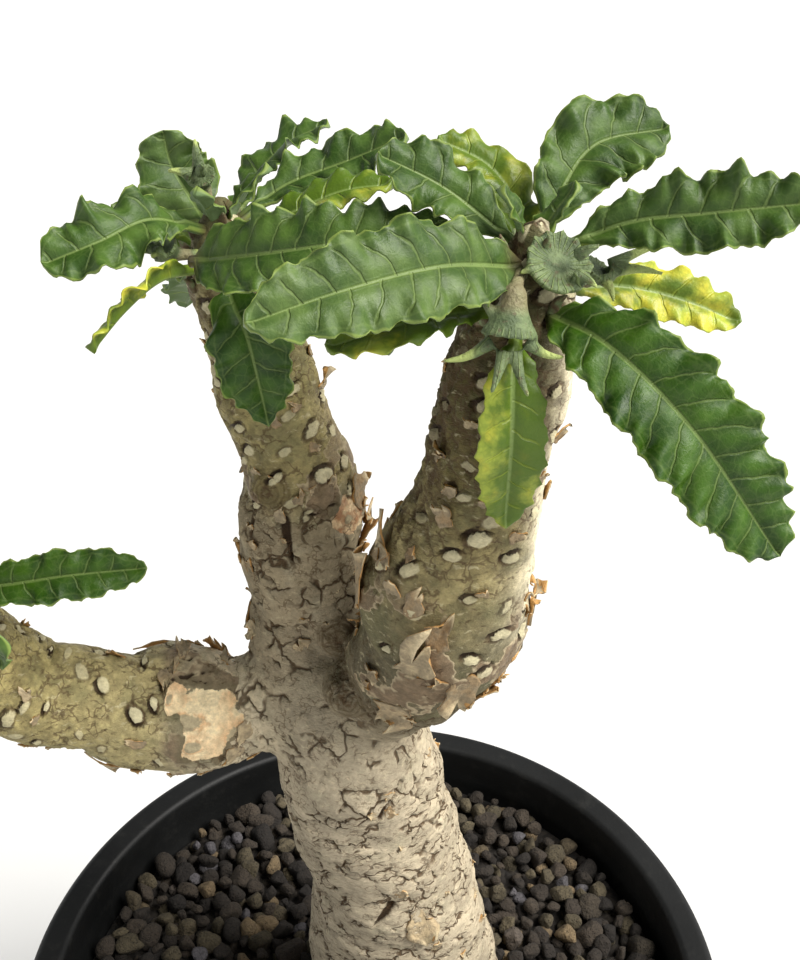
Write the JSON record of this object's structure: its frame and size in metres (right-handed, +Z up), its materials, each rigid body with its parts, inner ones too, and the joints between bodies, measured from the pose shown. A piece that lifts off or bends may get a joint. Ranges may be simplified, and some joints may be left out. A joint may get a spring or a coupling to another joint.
{
  "type": "potted dorstenia",
  "caption": "Succulent with a stout scarred stem whose limbs end in crowns of crisped leaves, growing in gravel in a round plastic nursery pot.",
  "frame": {"origin": "middle of the underside of the pot's foot", "axes": "+Z up along the pot's axis, -Y towards the front, +X to the right seen from the front"},
  "size_m": [0.1841, 0.15, 0.3109],
  "materials": {
    "pot": "matt slate-black moulded plastic",
    "gravel": "rough dark brown-grey grit with a few tan and lilac-grey grains",
    "bark": "dull cream-tan bark with fine cracks, pale leaf scars and papery flakes",
    "leaf_green": "satin green leaf with pale veins",
    "leaf_grey_green": "satin grey-green leaf with pale veins",
    "leaf_dark_green": "satin dark green leaf with pale veins",
    "leaf_yellow": "ageing leaf, yellow with green left along its veins",
    "flower": "dull grey-green fleshy flower head"
  },
  "bodies": {
    "root": {"pot": "pot", "gravel": "gravel", "stem": "bark", "leaf_mid_01": "leaf_green", "leaf_mid_02": "leaf_grey_green", "leaf_mid_03": "leaf_yellow", "leaf_mid_04": "leaf_yellow", "leaf_mid_05": "leaf_green", "leaf_mid_06": "leaf_dark_green", "leaf_mid_07": "leaf_green", "leaf_mid_08": "leaf_green", "leaf_mid_09": "leaf_yellow", "leaf_mid_10": "leaf_green", "leaf_mid_11": "leaf_green", "leaf_right_01": "leaf_grey_green", "leaf_right_02": "leaf_yellow", "leaf_right_03": "leaf_green", "leaf_right_04": "leaf_yellow", "leaf_right_05": "leaf_green", "leaf_right_06": "leaf_green", "leaf_right_07": "leaf_dark_green", "leaf_right_08": "leaf_yellow", "leaf_right_09": "leaf_yellow", "leaf_right_10": "leaf_green", "leaf_right_11": "leaf_green", "leaf_right_12": "leaf_green", "leaf_left_01": "leaf_dark_green", "leaf_left_02": "leaf_green", "leaf_left_03": "leaf_grey_green", "leaf_left_04": "leaf_green", "leaf_left_05": "leaf_green", "leaf_left_06": "leaf_grey_green", "leaf_left_07": "leaf_green", "leaf_left_08": "leaf_dark_green", "leaf_left_09": "leaf_yellow", "young_leaf_mid_1": "leaf_green", "young_leaf_mid_2": "leaf_green", "young_leaf_right_1": "leaf_green", "young_leaf_right_2": "leaf_green", "young_leaf_left_1": "leaf_green", "young_leaf_left_2": "leaf_green", "flower_right_1": "flower", "flower_right_2": "flower", "flower_right_3": "flower", "flower_mid_1": "flower", "flower_mid_2": "flower", "flower_left_1": "flower"}
  },
  "joints": []
}
